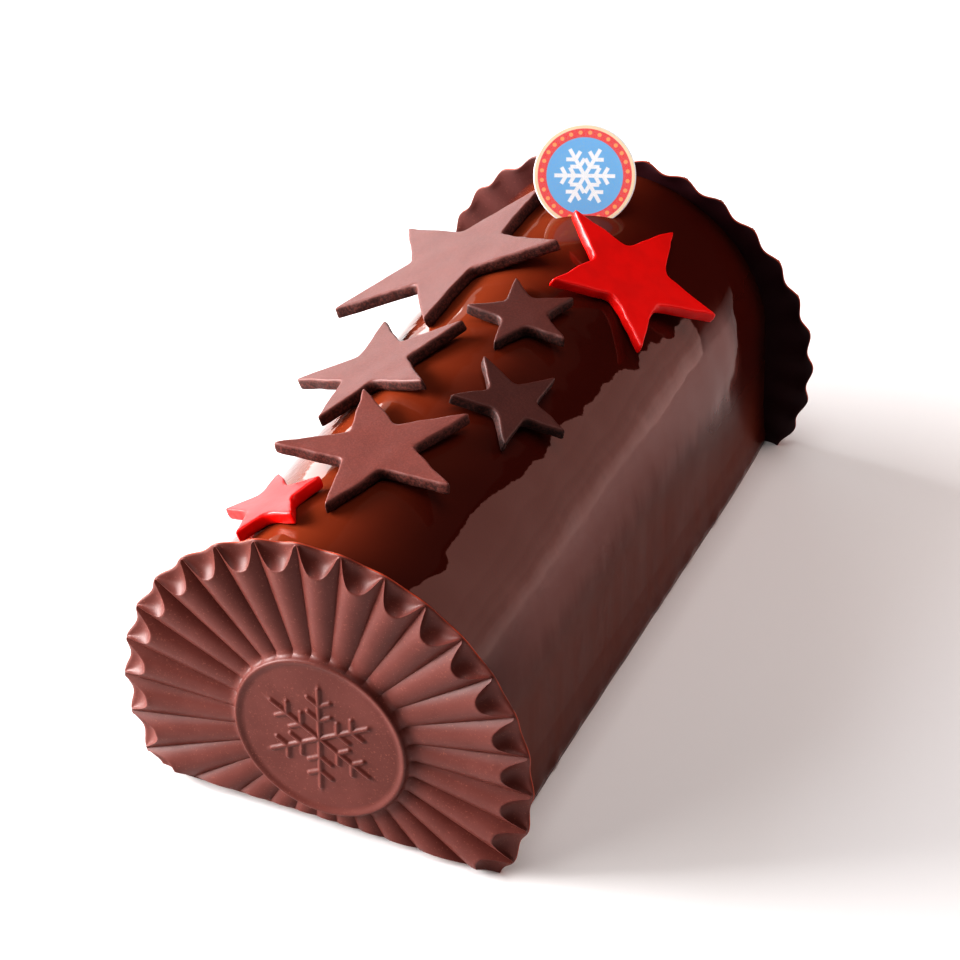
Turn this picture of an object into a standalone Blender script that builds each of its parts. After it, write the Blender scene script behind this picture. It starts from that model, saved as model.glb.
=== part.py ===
"""Yule log cake: a glazed log between two moulded chocolate plaques, with stars and a disc.

Metres, +Z up. The log lies along Y on its flat base, and the origin is the middle of that base.
"""
import math

import bmesh
import bpy
from mathutils import Matrix, Vector

MM = 0.001
GAP = 0.3 * MM  # clearance that every piece keeps to its neighbours

# Log: an arch with upright sides that spread a little at the foot
LOG_HALF_WIDTH = 40.3 * MM
LOG_HEIGHT = 76.4 * MM
LOG_FOOT_SPREAD = 0.9 * MM
LOG_FOOT_HEIGHT = 12.0 * MM
LOG_ARCH_STEPS = 32

# Plaques: the plane through the tips of the scalloped rim is the plaque's own zero height
TIP_PLANES_APART = 179.7 * MM  # measured along the floor
FRONT_LEAN = math.radians(2.6)  # each plaque's top leans in towards the log
REAR_LEAN = math.radians(1.0)
PLAQUE_RADIUS = 53.0 * MM
PLAQUE_CENTRE_HEIGHT = 27.3 * MM
PLAQUE_BACK = -1.0 * MM
BACK_RADIUS = 49.6 * MM  # the back is flat out to here, and then follows the rim
FOOT_DRAFT = math.radians(31.0)  # the moulded foot rises from the back edge to the front
FRONT_ROLL = math.radians(0.8)  # the front plaque is lifted a little on its left
LOBES = 30
LOBE_STEPS = 6
RIM_SCALLOP = 1.15 * MM
RIM_SETBACK = 0.95 * MM
RIM_THICKNESS = 0.8 * MM

# Ribbed ground between the medallion and the scooped lobe ends
GROUND_START = 22.7 * MM
GROUND_MIDDLE = 35.0 * MM
CREST_AT_RING = 0.9 * MM
CREST_AT_SCOOP = 2.45 * MM
GROOVE_HEIGHT = 0.3 * MM
LOBE_ROUNDNESS = 2.2

# Scoop cut into the outer end of each lobe
SCOOP_START = 46.1 * MM
SCOOP_REACH = 8.4 * MM
SCOOP_SIDE_POWER = 2.8
SCOOP_WALL_WIDTH = 1.5 * MM
SCOOP_FLOOR_DROP = 2.3 * MM
TIP_STEP = 0.3 * MM

# Medallion in the middle of each plaque
RING_TOP = 21.9 * MM
RING_INNER = 21.1 * MM
RING_HEIGHT = 2.8 * MM
MEDALLION_HEIGHT = 2.3 * MM
MEDALLION_STEPS = 60

# Raised snowflake on the medallion
FLAKE_RADIUS = 14.5 * MM
FLAKE_HALF_STROKE = 0.65 * MM
FLAKE_RELIEF = 0.5 * MM
FLAKE_TWIGS = ((5.4 * MM, 3.3 * MM), (9.6 * MM, 3.3 * MM))  # distance from the middle, length

# Stars: flat plates that touch the arch along one line
STAR_THICKNESS = 3.2 * MM
STAR_CORNER = 0.8 * MM
# name, angle round the arch in degrees, offset across and place along Y in mm, turn in degrees,
# radius to the points and radius to the inner corners in mm
STARS = (
    ("star_brown_large", -25.7, -9.6, 41.3, 68.2, 32.8, 13.2),
    ("star_brown_front", -4.2, -2.2, -46.3, 51.4, 23.2, 9.1),
    ("star_brown_middle", -24.8, -5.9, -9.8, 41.4, 23.2, 9.2),
    ("star_brown_low", 18.5, 0.9, -15.1, 71.3, 15.4, 6.0),
    ("star_brown_top", 2.8, 1.7, 15.6, 50.4, 14.4, 5.8),
    ("star_red_large", 26.1, 0.4, 46.1, 14.0, 23.4, 9.9),
    ("star_red_small", -25.9, -3.3, -68.4, 38.3, 13.0, 6.0),
)

# Printed disc: pushed into the top of the log, leaning back
DISC_RADIUS = 13.0 * MM
DISC_THICKNESS = 1.1 * MM
DISC_EDGE = 0.15 * MM
DISC_STEPS = 48
DISC_CENTRE = Vector((-3.5, 69.4, 84.6)) * MM
DISC_TURN = math.radians(22.0)
DISC_LEAN = math.radians(34.0)


def material(name, colour, roughness):
    """A plain finish for one kind of piece."""
    finish = bpy.data.materials.new(name)
    finish.use_nodes = True
    shader = finish.node_tree.nodes["Principled BSDF"]
    shader.inputs["Base Color"].default_value = (*colour, 1.0)
    shader.inputs["Roughness"].default_value = roughness
    return finish


def finish_object(name, bm, finish, crease_degrees=30.0):
    """Turn a bmesh into a named object with smooth faces and sharp creases."""
    bmesh.ops.recalc_face_normals(bm, faces=bm.faces)
    mesh = bpy.data.meshes.new(name)
    bm.to_mesh(mesh)
    bm.free()
    mesh.shade_smooth()
    mesh.set_sharp_from_angle(angle=math.radians(crease_degrees))
    mesh.materials.append(finish)
    piece = bpy.data.objects.new(name, mesh)
    bpy.context.collection.objects.link(piece)
    return piece


def trim(bm, point, normal):
    """Cut away everything on the normal's side of a plane and close the cut."""
    geometry = bm.verts[:] + bm.edges[:] + bm.faces[:]
    cut = bmesh.ops.bisect_plane(bm, geom=geometry, plane_co=point, plane_no=normal, clear_outer=True)
    rim = [item for item in cut["geom_cut"] if isinstance(item, bmesh.types.BMEdge)]
    bmesh.ops.contextual_create(bm, geom=rim)


def prism(outline, low, high):
    """Closed prism on an outline of (x, y) points, from one height to another."""
    bm = bmesh.new()
    base = bm.faces.new([bm.verts.new((x, y, low)) for x, y in outline])
    top = bmesh.ops.extrude_face_region(bm, geom=[base], use_keep_orig=True)
    raised = [item for item in top["geom"] if isinstance(item, bmesh.types.BMVert)]
    bmesh.ops.translate(bm, verts=raised, vec=(0.0, 0.0, high - low))
    bmesh.ops.recalc_face_normals(bm, faces=bm.faces)
    return bm


def seat_plane(side, clearance=0.0):
    """Point and outward normal of the plane that a plaque's back lies in."""
    lean = FRONT_LEAN if side < 0 else REAR_LEAN
    normal = Vector((0.0, side * math.cos(lean), math.sin(lean)))
    foot = Vector((0.0, side * TIP_PLANES_APART / 2, 0.0))
    return foot + normal * (PLAQUE_BACK - clearance), normal


# ---------------------------------------------------------------- log

def log_outline():
    """Half outline of the log's section as (across, up), from the foot round to the other foot."""
    arch_centre = LOG_HEIGHT - LOG_HALF_WIDTH
    points = [(LOG_HALF_WIDTH + LOG_FOOT_SPREAD, 0.0), (LOG_HALF_WIDTH, LOG_FOOT_HEIGHT)]
    for step in range(LOG_ARCH_STEPS + 1):
        angle = math.pi * step / LOG_ARCH_STEPS
        points.append((LOG_HALF_WIDTH * math.cos(angle), arch_centre + LOG_HALF_WIDTH * math.sin(angle)))
    points += [(-LOG_HALF_WIDTH, LOG_FOOT_HEIGHT), (-LOG_HALF_WIDTH - LOG_FOOT_SPREAD, 0.0)]
    return points


def make_log(finish):
    """The glazed log, its ends trimmed to the lean of the plaques."""
    bm = prism(log_outline(), -TIP_PLANES_APART / 2, TIP_PLANES_APART / 2)
    bmesh.ops.rotate(bm, verts=bm.verts, matrix=Matrix.Rotation(math.radians(90), 3, "X"))
    for side in (-1, 1):
        trim(bm, *seat_plane(side, GAP))
    return finish_object("glazed_log", bm, finish)


# ---------------------------------------------------------------- plaques

def lobe_position(step):
    """Place across a lobe, -1 and 1 at its grooves and 0 on its crest."""
    return 2.0 * (step % LOBE_STEPS) / LOBE_STEPS - 1.0


def ribbed_height(radius, across):
    """Height of the ribbed ground at a radius and a place across the lobe."""
    outward = min((radius - GROUND_START) / (SCOOP_START - GROUND_START), 1.0)
    crest = CREST_AT_RING + (CREST_AT_SCOOP - CREST_AT_RING) * outward
    return GROOVE_HEIGHT + (crest - GROOVE_HEIGHT) * (1.0 - abs(across) ** LOBE_ROUNDNESS)


def scoop_radius(across):
    """Radius of the scoop's edge: deepest on the crest, out at the tips by the grooves."""
    limit = PLAQUE_RADIUS - 2 * TIP_STEP
    return min(SCOOP_START + SCOOP_REACH * abs(across) ** SCOOP_SIDE_POWER, limit)


def scoop_edge_height(across):
    """Height of the scoop's edge, which lies on the lobe's surface."""
    return ribbed_height(scoop_radius(across), across)


def scallop(across):
    """How deep the rim is scalloped: 1 in the middle of a lobe and 0 at its tips."""
    return math.cos(math.pi * across / 2) ** 2


def rim_radius(across):
    """Radius of the rim, scalloped inwards between the tips."""
    return PLAQUE_RADIUS - RIM_SCALLOP * scallop(across)


def rim_height(across):
    """Height of the rim's front edge, which steps back between the tips."""
    return -RIM_SETBACK * scallop(across)


def plaque_rings():
    """Radius and height of each ring of points across one lobe, from the flat back round inwards."""
    return (
        (lambda s: BACK_RADIUS, lambda s: PLAQUE_BACK),
        (rim_radius, lambda s: rim_height(s) - RIM_THICKNESS),
        (rim_radius, rim_height),
        (lambda s: scoop_radius(s) + TIP_STEP + SCOOP_WALL_WIDTH * scallop(s),
         lambda s: scoop_edge_height(s) - SCOOP_FLOOR_DROP * scallop(s)),
        (scoop_radius, scoop_edge_height),
        (lambda s: GROUND_MIDDLE, lambda s: ribbed_height(GROUND_MIDDLE, s)),
        (lambda s: GROUND_START, lambda s: ribbed_height(GROUND_START, s)),
    )


def make_ring(bm, steps, radius_at, height_at):
    """One closed ring of points about the plaque's axis, starting at a groove by the top."""
    start = math.pi / 2 - math.pi / LOBES
    ring = []
    for step in range(steps):
        angle = start + 2 * math.pi * step / steps
        across = lobe_position(step * LOBES * LOBE_STEPS // steps)
        radius = radius_at(across)
        ring.append(bm.verts.new((radius * math.cos(angle), radius * math.sin(angle), height_at(across))))
    return ring


def join_rings(bm, outer, inner):
    """Faces between two rings; the outer one may have a whole number of points for each inner one."""
    share = len(outer) // len(inner)
    for step, point in enumerate(inner):
        following = inner[(step + 1) % len(inner)]
        span = [outer[(step * share + extra) % len(outer)] for extra in range(share + 1)]
        middle = share // 2
        for extra in range(middle):
            bm.faces.new((point, span[extra], span[extra + 1]))
        bm.faces.new((point, span[middle], span[middle + 1], following))
        for extra in range(middle + 1, share):
            bm.faces.new((following, span[extra], span[extra + 1]))


def flake_arm(corner):
    """Outline of one snowflake arm that points along +X, from its lower root to its tip and back."""
    half = FLAKE_HALF_STROKE
    along = Vector((math.cos(math.pi / 3), math.sin(math.pi / 3)))
    beside = Vector((-along.y, along.x)) * half
    upper = []
    for place, length in FLAKE_TWIGS:
        root = Vector((place, 0.0))
        upper.append(Vector((place - half * math.tan(math.pi / 6), half)))
        upper.append(root + along * length + beside)
        upper.append(root + along * length - beside)
        upper.append(Vector((place + half * math.tan(math.pi / 3), half)))
    upper.append(Vector((FLAKE_RADIUS, half)))
    lower = [Vector((point.x, -point.y)) for point in upper]
    return [Vector((corner.x, -corner.y))] + lower + upper[::-1]


def flake_outline():
    """Outline of the whole six-armed snowflake."""
    corner = Vector((2 * FLAKE_HALF_STROKE * math.cos(math.pi / 6), FLAKE_HALF_STROKE))
    points = []
    for arm in range(6):
        turn = Matrix.Rotation(math.pi / 6 + arm * math.pi / 3, 2)
        points += [turn @ point for point in flake_arm(corner)]
    return [(point.x, point.y) for point in points]


def make_flake_cutter():
    """Snowflake prism that is joined to the medallion; a guide, not a piece."""
    bm = prism(flake_outline(), PLAQUE_BACK / 2, MEDALLION_HEIGHT + FLAKE_RELIEF)
    mesh = bpy.data.meshes.new("snowflake_guide")
    bm.to_mesh(mesh)
    bm.free()
    guide = bpy.data.objects.new("snowflake_guide", mesh)
    bpy.context.collection.objects.link(guide)
    guide.hide_render = True
    guide.display_type = "WIRE"
    return guide


def make_plaque_form():
    """The whole round plaque, facing +Z, with its ribs, scoops, ring and medallion."""
    bm = bmesh.new()
    rings = [make_ring(bm, LOBES * LOBE_STEPS, *ring) for ring in plaque_rings()]
    for radius, height in ((RING_TOP, RING_HEIGHT), (RING_INNER, MEDALLION_HEIGHT)):
        rings.append(make_ring(bm, MEDALLION_STEPS, lambda s, r=radius: r, lambda s, h=height: h))
    for outer, inner in zip(rings, rings[1:]):
        join_rings(bm, outer, inner)
    bm.faces.new(rings[0])
    bm.faces.new(rings[-1])
    bmesh.ops.recalc_face_normals(bm, faces=bm.faces)
    return bm


def plaque_placement(side):
    """Matrix that stands a plaque facing outwards at one end of the log, leaning in at the top."""
    lean = FRONT_LEAN if side < 0 else REAR_LEAN
    up = Vector((0.0, -side * math.sin(lean), math.cos(lean)))
    outward = Vector((0.0, side * math.cos(lean), math.sin(lean)))
    right = up.cross(outward)
    turn = Matrix((right, up, outward)).transposed().to_4x4()
    foot = Vector((0.0, side * TIP_PLANES_APART / 2, 0.0))
    return Matrix.Translation(foot + up * PLAQUE_CENTRE_HEIGHT) @ turn


def add_boolean(piece, guide, operation):
    """Exact boolean against a guide."""
    modifier = piece.modifiers.new(operation.title(), "BOOLEAN")
    modifier.operation = operation
    modifier.solver = "EXACT"
    modifier.object = guide


def foot_planes(side):
    """Planes that end a plaque's foot, as points and outward normals: the floor and the drafted edge."""
    corner, _ = seat_plane(side)
    corner.z = 0.0
    normal = Vector((0.0, side * math.sin(FOOT_DRAFT), -math.cos(FOOT_DRAFT)))
    if side < 0:
        corner.x = LOG_HALF_WIDTH
        normal = Matrix.Rotation(FRONT_ROLL, 3, "Y") @ normal
    return (Vector(), Vector((0.0, 0.0, -1.0))), (corner, normal)


def make_plaque(name, side, finish):
    """One plaque, stood at its end of the log and cut off at its foot."""
    bm = make_plaque_form()
    placement = plaque_placement(side)
    bmesh.ops.transform(bm, matrix=placement, verts=bm.verts)
    for point, normal in foot_planes(side):
        trim(bm, point, normal)
    plaque = finish_object(name, bm, finish)
    flake = make_flake_cutter()
    flake.matrix_world = placement
    add_boolean(plaque, flake, "UNION")


# ---------------------------------------------------------------- stars and disc

def star_outline(tip_radius, inner_radius, turn):
    """The ten corners of a five-pointed star, as (across, along) points."""
    points = []
    for step in range(10):
        radius = inner_radius if step % 2 else tip_radius
        angle = turn + math.pi * step / 5
        points.append((radius * math.cos(angle), radius * math.sin(angle)))
    return points


def make_star(name, arch_angle, across, along, turn, tip_radius, inner_radius, finish):
    """One star plate that rests against the arch at its own angle round the log."""
    bm = prism(star_outline(tip_radius * MM, inner_radius * MM, math.radians(turn)), 0.0, STAR_THICKNESS)
    uprights = [edge for edge in bm.edges if edge.verts[0].co.z != edge.verts[1].co.z]
    bmesh.ops.bevel(bm, geom=uprights, offset=STAR_CORNER, segments=2, profile=0.5, affect="EDGES")
    star = finish_object(name, bm, finish)
    angle = math.radians(arch_angle)
    outward = Vector((math.sin(angle), 0.0, math.cos(angle)))
    sideways = Vector((math.cos(angle), 0.0, -math.sin(angle)))
    arch_centre = Vector((0.0, along * MM, LOG_HEIGHT - LOG_HALF_WIDTH))
    star.location = arch_centre + outward * (LOG_HALF_WIDTH + GAP) + sideways * across * MM
    star.rotation_euler = (0.0, angle, 0.0)
    return star


def disc_placement():
    """Matrix that stands the disc in the log's top, turned and leaning back."""
    facing = Vector((math.sin(DISC_TURN) * math.cos(DISC_LEAN),
                     -math.cos(DISC_TURN) * math.cos(DISC_LEAN),
                     math.sin(DISC_LEAN)))
    right = Vector((math.cos(DISC_TURN), math.sin(DISC_TURN), 0.0))
    turn = Matrix((right, facing.cross(right), facing)).transposed().to_4x4()
    return Matrix.Translation(DISC_CENTRE) @ turn


def disc_form(radius, thickness):
    """Round plate about the origin, with its face on +Z."""
    bm = bmesh.new()
    bmesh.ops.create_cone(bm, cap_ends=True, segments=DISC_STEPS, radius1=radius, radius2=radius,
                          depth=thickness)
    return bm


def make_disc(finish):
    """The printed disc."""
    bm = disc_form(DISC_RADIUS, DISC_THICKNESS)
    rims = [edge for edge in bm.edges if abs(edge.verts[0].co.z - edge.verts[1].co.z) < DISC_EDGE]
    bmesh.ops.bevel(bm, geom=rims, offset=DISC_EDGE, segments=1, profile=0.5, affect="EDGES")
    disc = finish_object("printed_disc", bm, finish)
    disc.matrix_world = disc_placement()
    return disc


def cut_disc_slot(log):
    """Slot in the log's top that the disc's lower edge stands in."""
    bm = disc_form(DISC_RADIUS + GAP, DISC_THICKNESS + 2 * GAP)
    mesh = bpy.data.meshes.new("disc_slot_guide")
    bm.to_mesh(mesh)
    bm.free()
    guide = bpy.data.objects.new("disc_slot_guide", mesh)
    bpy.context.collection.objects.link(guide)
    guide.matrix_world = disc_placement()
    guide.hide_render = True
    guide.display_type = "WIRE"
    add_boolean(log, guide, "DIFFERENCE")


def main():
    for item in list(bpy.data.objects):
        bpy.data.objects.remove(item)
    glaze = material("dark_glaze", (0.045, 0.012, 0.008), 0.08)
    moulded = material("moulded_chocolate", (0.19, 0.062, 0.046), 0.42)
    cocoa = material("cocoa_chocolate", (0.14, 0.05, 0.038), 0.7)
    red = material("red_chocolate", (0.62, 0.006, 0.004), 0.35)
    print_blue = material("printed_sugar", (0.28, 0.5, 0.78), 0.5)

    log = make_log(glaze)
    cut_disc_slot(log)
    make_plaque("plaque_front", -1, moulded)
    make_plaque("plaque_rear", 1, moulded)
    for name, *sizes in STARS:
        make_star(name, *sizes, red if "red" in name else cocoa)
    make_disc(print_blue)


main()
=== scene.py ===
"""Yule log cake, finished for show: glaze, moulded plaques, cut-out stars and a printed disc.

Metres, +Z up, in the frame of the solid model: the log lies along Y on its flat base.
"""
import math

import bmesh
import bpy
from mathutils import Matrix, Vector, noise


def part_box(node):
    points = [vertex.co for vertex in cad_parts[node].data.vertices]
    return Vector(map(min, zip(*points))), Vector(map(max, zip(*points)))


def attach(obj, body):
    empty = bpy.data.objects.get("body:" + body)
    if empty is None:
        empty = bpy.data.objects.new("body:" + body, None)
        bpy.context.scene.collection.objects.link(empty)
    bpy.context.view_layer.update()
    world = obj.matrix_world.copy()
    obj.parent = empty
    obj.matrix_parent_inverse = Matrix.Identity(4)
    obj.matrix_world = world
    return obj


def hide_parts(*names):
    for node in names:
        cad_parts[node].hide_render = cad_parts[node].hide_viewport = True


bl_info = {
    "name": "Yule Log Cake",
    "version": (1, 0, 0),
    "blender": (4, 5, 0),
    "location": "View3D > Sidebar > Cake",
    "description": "Dresses the solid yule log cake with glaze, chocolate plaques, stars and a disc",
    "category": "Add Mesh",
}

MM = 0.001

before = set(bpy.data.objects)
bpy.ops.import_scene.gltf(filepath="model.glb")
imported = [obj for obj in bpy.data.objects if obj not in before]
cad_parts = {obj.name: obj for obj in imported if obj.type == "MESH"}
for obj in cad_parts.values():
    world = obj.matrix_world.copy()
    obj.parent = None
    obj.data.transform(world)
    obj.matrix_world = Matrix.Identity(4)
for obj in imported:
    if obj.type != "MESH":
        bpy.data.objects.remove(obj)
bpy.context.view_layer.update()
LOG_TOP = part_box("glazed_log")[1].z


# ---------------------------------------------------------------- settings

def length(name, description, default_mm):
    """A length property in metres, given in millimetres."""
    return bpy.props.FloatProperty(name=name, description=description, default=default_mm * MM,
                                   min=0.0, precision=5, unit="LENGTH", subtype="DISTANCE")


def angle(name, description, degrees):
    """An angle property, given in degrees."""
    return bpy.props.FloatProperty(name=name, description=description, default=math.radians(degrees),
                                   unit="ROTATION", subtype="ANGLE")


def colour(name, description, default):
    """A colour property."""
    return bpy.props.FloatVectorProperty(name=name, description=description, default=default,
                                         min=0.0, max=1.0, size=3, subtype="COLOR")


def number(name, description, default):
    """A plain number property."""
    return bpy.props.FloatProperty(name=name, description=description, default=default, min=0.0)


class GlazeSettings(bpy.types.PropertyGroup):
    """Sizes and colours of the glazed log"""
    half_width: length("Half Width", "Radius of the log's arch with its glaze", 40.45)
    height: length("Height", "Height of the log with its glaze", LOG_TOP / MM + 0.15)
    foot_spread: length("Foot Spread", "How far the sides spread out at the foot", 0.9)
    foot_height: length("Foot Height", "Height over which the sides spread", 12.0)
    waves: length("Waves", "Height of the slow waves in the glaze", 0.20)
    ripples: length("Ripples", "Height of the short ripples in the glaze", 0.10)
    shoulder: length("Shoulder", "How far the glaze falls away at the rear end", 0.8)
    bead: length("Foot Bead", "Thickness of the uneven bead of glaze at the foot", 0.60)
    # Deep Glaze is the glaze's own colour; Thin Glaze is painted light, warmer and lighter towards the left
    # where the side light falls, not thinner glaze
    deep: colour("Deep Glaze", "Colour where the glaze is thick", (0.066, 0.0090, 0.0048))
    thin: colour("Thin Glaze", "Colour where the glaze is thin and lets light through", (0.240, 0.050, 0.018))
    wall: colour("Side Glaze", "Colour of the duller glaze low on the right side", (0.165, 0.034, 0.014))
    # Side Veil is a painted sheen: a lighter band that stands in for light reflected high on the right side
    veil: colour("Side Veil", "Colour of the milky band high on the right side", (0.240, 0.105, 0.092))
    gloss: number("Roughness", "Roughness of the wet glaze", 0.035)


class PlaqueSettings(bpy.types.PropertyGroup):
    """Sizes and colours of the two moulded plaques"""
    apart: length("Distance Apart", "Distance between the plaques' tip planes on the floor", 179.7)
    front_lean: angle("Front Lean", "How far the front plaque leans in at the top", 2.6)
    rear_lean: angle("Rear Lean", "How far the rear plaque leans in at the top", 1.0)
    front_roll: angle("Front Roll", "How far the front plaque is lifted on its left", 0.8)
    foot_draft: angle("Foot Draft", "How steeply the foot rises from back to front", 31.0)
    radius: length("Radius", "Radius through the tips of the rim", 53.0)
    centre_height: length("Centre Height", "Height of the medallion's centre", 27.3)
    medallion: length("Medallion Radius", "Radius of the bead round the medallion", 21.8)
    relief: length("Relief", "Height of the snowflake on the medallion", 0.55)
    milk: colour("Chocolate", "Colour of the moulded chocolate", (0.145, 0.040, 0.031))
    shade: colour("Darker Chocolate", "Colour of its darker mottling", (0.122, 0.031, 0.023))
    specks: colour("Specks", "Colour of its fine pale specks", (0.33, 0.115, 0.080))
    # Plain Back is painted shade: a dark colour on the plaques' plain backs, where the log shades them
    back: colour("Plain Back", "Colour of the unlit plain back", (0.030, 0.006, 0.010))
    # Thin Rim is a painted glow: colour standing in for light shining through the thin rim
    rim: colour("Thin Rim", "Colour of the thin rim that light shines through", (0.50, 0.070, 0.022))


class StarSettings(bpy.types.PropertyGroup):
    """Sizes and colours of the cut-out stars"""
    thickness: length("Thickness", "Thickness of every star", 3.2)
    point: length("Point", "Length added to each point before softening shortens it", 0.7)
    unevenness: length("Unevenness", "How far the cut sides wander", 0.30)
    crumbs: length("Crumbs", "Roughness of the cut sides", 0.10)
    cocoa: colour("Cocoa Chocolate", "Colour of the brown stars", (0.142, 0.040, 0.031))
    cocoa_side: colour("Cut Side", "Colour of the brown stars' rough sides", (0.072, 0.019, 0.014))
    red: colour("Red Chocolate", "Colour of the red stars", (0.82, 0.0060, 0.0040))


class DiscSettings(bpy.types.PropertyGroup):
    """Sizes and colours of the printed disc"""
    radius: length("Radius", "Radius of the disc", 13.0)
    thickness: length("Thickness", "Thickness of the disc", 1.1)
    field_radius: length("Field Radius", "Radius of the blue field", 9.7)
    ring_radius: length("Ring Radius", "Outer radius of the red ring", 11.9)
    dot_radius: length("Dot Radius", "Radius of a gold dot", 0.52)
    blue: colour("Blue", "Colour of the field", (0.192, 0.478, 0.805))
    red: colour("Red", "Colour of the ring", (0.86, 0.075, 0.066))
    gold: colour("Gold", "Colour of the dots", (0.93, 0.40, 0.13))
    cream: colour("Cream", "Colour of the border", (0.92, 0.73, 0.48))
    white: colour("White", "Colour of the snowflake and the edge", (0.92, 0.92, 0.93))
    grain: colour("Print Grain", "Colour of the print's fine grain", (0.45, 0.50, 0.58))


class StageSettings(bpy.types.PropertyGroup):
    """Floor, lights and camera"""
    floor: colour("Floor", "Colour of the floor", (0.90, 0.885, 0.875))
    side_light: number("Side Light", "Strength of the low soft light on the left", 23.4)
    top_light: number("Top Light", "Strength of the soft light overhead", 3.0)
    front_light: number("Front Light", "Strength of the soft light on the front left", 4.0)
    card: number("Card", "Strength of the tall card behind on the right", 2.2)
    surround: number("Surround", "Strength of the even light all round", 0.03)
    low_card: number("Low Card", "Strength of the long low card behind on the left", 4.2)
    card_top: number("Low Card Top", "Strength of the dimmer top of the low card", 0.7)
    upper_light: number("Upper Light", "Strength of the soft light above the side light", 3.2)
    back_light: number("Back Light", "Strength of the faint veil behind and above", 0.09)
    lens: number("Lens", "Focal length of the camera in millimetres", 134.33)
    camera_turn: angle("Camera Turn", "Turn of the camera from the log's length", 25.78)
    camera_tilt: angle("Camera Tilt", "How far the camera looks down", 38.08)
    camera_roll: angle("Camera Roll", "Roll of the camera about its own axis", -1.33)


# ---------------------------------------------------------------- shader wiring

class Socket:
    """An output in a material's nodes that takes part in sums, with numbers on either side."""

    def __init__(self, finish, output):
        self.finish = finish
        self.output = output

    def maths(self, operation, *values):
        return self.finish.node("ShaderNodeMath", {"operation": operation}, dict(enumerate(values)))

    def __add__(self, other):
        return self.maths("ADD", self, other)

    def __radd__(self, other):
        return self.maths("ADD", other, self)

    def __sub__(self, other):
        return self.maths("SUBTRACT", self, other)

    def __rsub__(self, other):
        return self.maths("SUBTRACT", other, self)

    def __mul__(self, other):
        return self.maths("MULTIPLY", self, other)

    def __rmul__(self, other):
        return self.maths("MULTIPLY", other, self)

    def __abs__(self):
        return self.maths("ABSOLUTE", self)

    def __mod__(self, other):
        return self.maths("FLOORED_MODULO", self, other)

    def least(self, other):
        return self.maths("MINIMUM", self, other)

    def most(self, other):
        return self.maths("MAXIMUM", self, other)

    def step(self, start, end):
        """0 below start and 1 above end, turning smoothly between them."""
        return self.finish.node("ShaderNodeMapRange", {"interpolation_type": "SMOOTHSTEP"},
                                {"Value": self, "From Min": start, "From Max": end})


MIX_FACTOR = 0
MIX_COLOURS = (6, 7)
MIX_RESULT = 2


class Finish:
    """A material whose nodes are added one by one round its main shader."""

    def __init__(self, name):
        self.material = bpy.data.materials.new(name)
        self.material.use_nodes = True
        self.tree = self.material.node_tree
        self.shader = self.tree.nodes["Principled BSDF"]

    def node(self, kind, settings=None, sockets=None, output=0):
        """Add a node, set it up, fill or link its sockets, and return one of its outputs."""
        node = self.tree.nodes.new(kind)
        for key, value in (settings or {}).items():
            setattr(node, key, value)
        self.fill(node, sockets or {})
        return Socket(self, node.outputs[output])

    def fill(self, node, sockets):
        """Give each named socket a value or a link."""
        for key, value in sockets.items():
            if isinstance(value, Socket):
                self.tree.links.new(value.output, node.inputs[key])
            else:
                node.inputs[key].default_value = value

    def mix(self, factor, first, second, blend="MIX"):
        """Blend two colours by a factor."""
        sockets = {MIX_FACTOR: factor}
        for key, value in zip(MIX_COLOURS, (first, second)):
            sockets[key] = value if isinstance(value, Socket) else (*value, 1.0)
        return self.node("ShaderNodeMix", {"data_type": "RGBA", "blend_type": blend}, sockets, MIX_RESULT)

    def place(self):
        """The place on the piece, in metres."""
        return self.node("ShaderNodeTexCoord", output="Object")

    def stretched(self, place, scale):
        """The place scaled for a pattern with a grain."""
        return self.node("ShaderNodeMapping", {"vector_type": "POINT"}, {"Vector": place, "Scale": scale})

    def noise(self, place, size_mm, detail, roughness=0.5):
        """Soft noise with features of a size in millimetres."""
        return self.node("ShaderNodeTexNoise", {}, {"Vector": place, "Scale": 1000.0 / size_mm,
                                                    "Detail": detail, "Roughness": roughness})

    def along(self, place, axis):
        """One coordinate of a place."""
        return self.node("ShaderNodeSeparateXYZ", {}, {0: place}, output=axis)

    def attribute(self, name):
        """A number stored on the piece's points."""
        return self.node("ShaderNodeAttribute", {"attribute_name": name}, output="Fac")

    def bump(self, height, depth_mm):
        """Relief of a depth in millimetres, from a height between 0 and 1."""
        return self.node("ShaderNodeBump", {}, {"Height": height, "Distance": depth_mm * MM,
                                                "Strength": 1.0})

    def surface(self, shader=None, **sockets):
        """Fill a shader's sockets, the main shader's unless another is given."""
        names = {key.replace("_", " ").title().replace("Ior", "IOR"): value
                 for key, value in sockets.items()}
        if not isinstance(names["Base Color"], Socket):
            names["Base Color"] = (*names["Base Color"], 1.0)
        self.fill(shader or self.shader, names)
        return self.material

    def duller(self, share, **sockets):
        """Blend the main shader towards a duller one by a share."""
        dull = self.tree.nodes.new("ShaderNodeBsdfPrincipled")
        self.surface(dull, **sockets)
        both = {0: share, 1: Socket(self, self.shader.outputs[0]), 2: Socket(self, dull.outputs[0])}
        blend = self.node("ShaderNodeMixShader", {}, both)
        self.tree.links.new(blend.output, self.tree.nodes["Material Output"].inputs["Surface"])
        return self.material


# ---------------------------------------------------------------- mesh making

def shaded(base, share):
    """A colour made darker or lighter by a share."""
    return tuple(share * part for part in base)


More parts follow.
